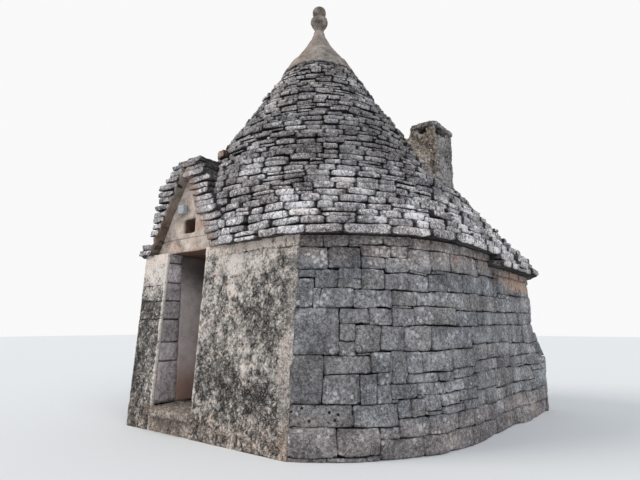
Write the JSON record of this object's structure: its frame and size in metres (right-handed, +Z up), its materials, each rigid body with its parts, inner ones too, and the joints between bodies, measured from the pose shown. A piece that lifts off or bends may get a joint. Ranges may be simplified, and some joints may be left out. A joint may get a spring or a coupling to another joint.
{
  "type": "trullo house",
  "caption": "Small dry-stone trullo: a round house with a flat front, an open gabled doorway, a corbelled cone roof with plastered cap and ball, and a squat chimney.",
  "frame": {"origin": "on the axis of the cone roof, at the level of the lowest ground at the walls", "axes": "+Z up, the flat front with the doorway faces -Y, +X to the right of someone looking at the front"},
  "size_m": [5.37, 5.07, 6.7558],
  "materials": {
    "limewashed_wall": "rough rubble wall with worn, streaked limewash",
    "limestone_wall": "rough grey limestone blocks with pale lichen and dark dry joints",
    "threshold_stone": "worn pinkish stone",
    "dressed_stone": "dressed purple-grey jamb blocks",
    "gable_plaster": "rough cream-pink lime plaster",
    "floor_stone": "worn stone paving",
    "roof_slabs": "thin light grey limestone slabs, weathered, with white lichen and dark gaps",
    "cap_plaster": "smooth tan-grey weathered plaster",
    "dome_lining": "corbelled limestone, bare",
    "chimney_render": "rough tan-grey render with ochre lichen",
    "fixture_box": "plain grey box"
  },
  "bodies": {
    "root": {"wall_front_left": "limewashed_wall", "wall_front_right": "limewashed_wall", "wall_front_corner": "limestone_wall", "wall_right": "limestone_wall", "wall_rear_right": "limestone_wall", "wall_rear_corner": "limestone_wall", "wall_back": "limestone_wall", "wall_back_left": "limestone_wall", "wall_left": "limestone_wall", "door_footing": "limestone_wall", "threshold_stone": "threshold_stone", "left_door_jamb": "dressed_stone", "right_door_jamb": "dressed_stone", "door_lintel": "gable_plaster", "floor_paving": "floor_stone", "eaves_front": "roof_slabs", "eaves_right": "roof_slabs", "eaves_rear": "roof_slabs", "eaves_back": "roof_slabs", "eaves_left": "roof_slabs", "roof_skirt_lower": "roof_slabs", "roof_over_door": "roof_slabs", "roof_skirt_upper": "roof_slabs", "cone_lower": "roof_slabs", "cone_middle": "roof_slabs", "cone_upper": "roof_slabs", "cone_cap": "cap_plaster", "finial_neck": "cap_plaster", "finial_collar": "cap_plaster", "finial_ball": "cap_plaster", "dome_lower": "dome_lining", "dome_over_door": "dome_lining", "dome_upper": "dome_lining", "dome_closing_slab": "dome_lining", "gable_wall": "gable_plaster", "gable_roof_left": "roof_slabs", "gable_roof_right": "roof_slabs", "gable_ridge": "roof_slabs", "wall_box": "fixture_box", "chimney_stack": "chimney_render", "chimney_cap": "chimney_render"}
  },
  "joints": []
}
